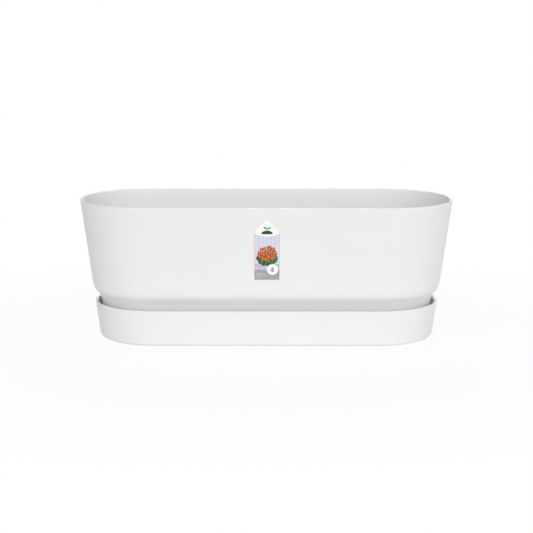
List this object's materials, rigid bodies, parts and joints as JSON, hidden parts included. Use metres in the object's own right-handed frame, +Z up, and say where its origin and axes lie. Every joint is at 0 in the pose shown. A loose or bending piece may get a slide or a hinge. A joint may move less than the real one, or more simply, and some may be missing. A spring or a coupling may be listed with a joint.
{
  "type": "trough planter",
  "caption": "Long round-ended plastic trough planter with leaning walls and drain holes, standing in a matching drip saucer, with a pointed label on its front.",
  "frame": {"origin": "on the ground under the middle of the saucer, at the centre of the overall outline", "axes": "+X along the trough, +Y towards its back, +Z up; the label faces -Y"},
  "size_m": [0.59, 0.2306, 0.2198],
  "materials": {
    "saucer_plastic": "fine matt moulded polypropylene, warm white",
    "trough_plastic": "fine matt moulded polypropylene, warm white",
    "label_film": "printed self-adhesive film, satin"
  },
  "bodies": {
    "saucer": {"saucer": "saucer_plastic"},
    "trough": {"trough": "trough_plastic", "label": "label_film"}
  },
  "joints": [
    {"name": "trough_lift", "type": "slide", "parent": "saucer", "child": "trough", "axis": [0, 0, 1], "range_m": [0, 0.06]}
  ]
}
